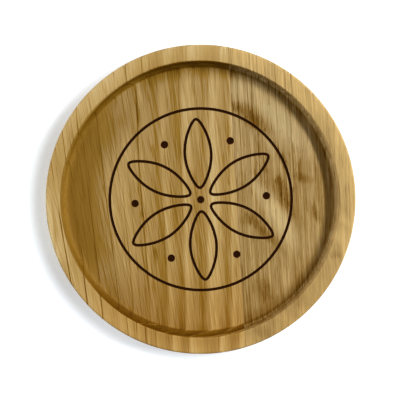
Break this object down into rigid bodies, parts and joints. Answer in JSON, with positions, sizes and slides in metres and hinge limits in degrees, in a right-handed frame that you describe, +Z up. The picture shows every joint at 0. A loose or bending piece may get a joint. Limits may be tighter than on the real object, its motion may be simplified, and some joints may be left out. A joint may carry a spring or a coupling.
{
  "type": "drink coaster",
  "caption": "Round turned oak coaster of edge-glued staves, with a flat rim and a coved recess that keeps the foot of a glass or mug in place.",
  "frame": {"origin": "centre of the underside, on the surface that the coaster lies on", "axes": "+Z up out of the recess, +Y along the grain and the glue line, +X from the wide stave to the narrow stave"},
  "size_m": [0.11, 0.11, 0.012],
  "materials": {
    "oak_wide": "oiled flat-sawn and rift-sawn oak, satin",
    "oak_narrow": "oiled quarter-sawn oak with ray fleck, satin",
    "cured_glue": "thin line of cured brown wood glue, satin"
  },
  "bodies": {
    "root": {"wide_stave": "oak_wide", "narrow_stave": "oak_narrow", "glue_line": "cured_glue"}
  },
  "joints": []
}
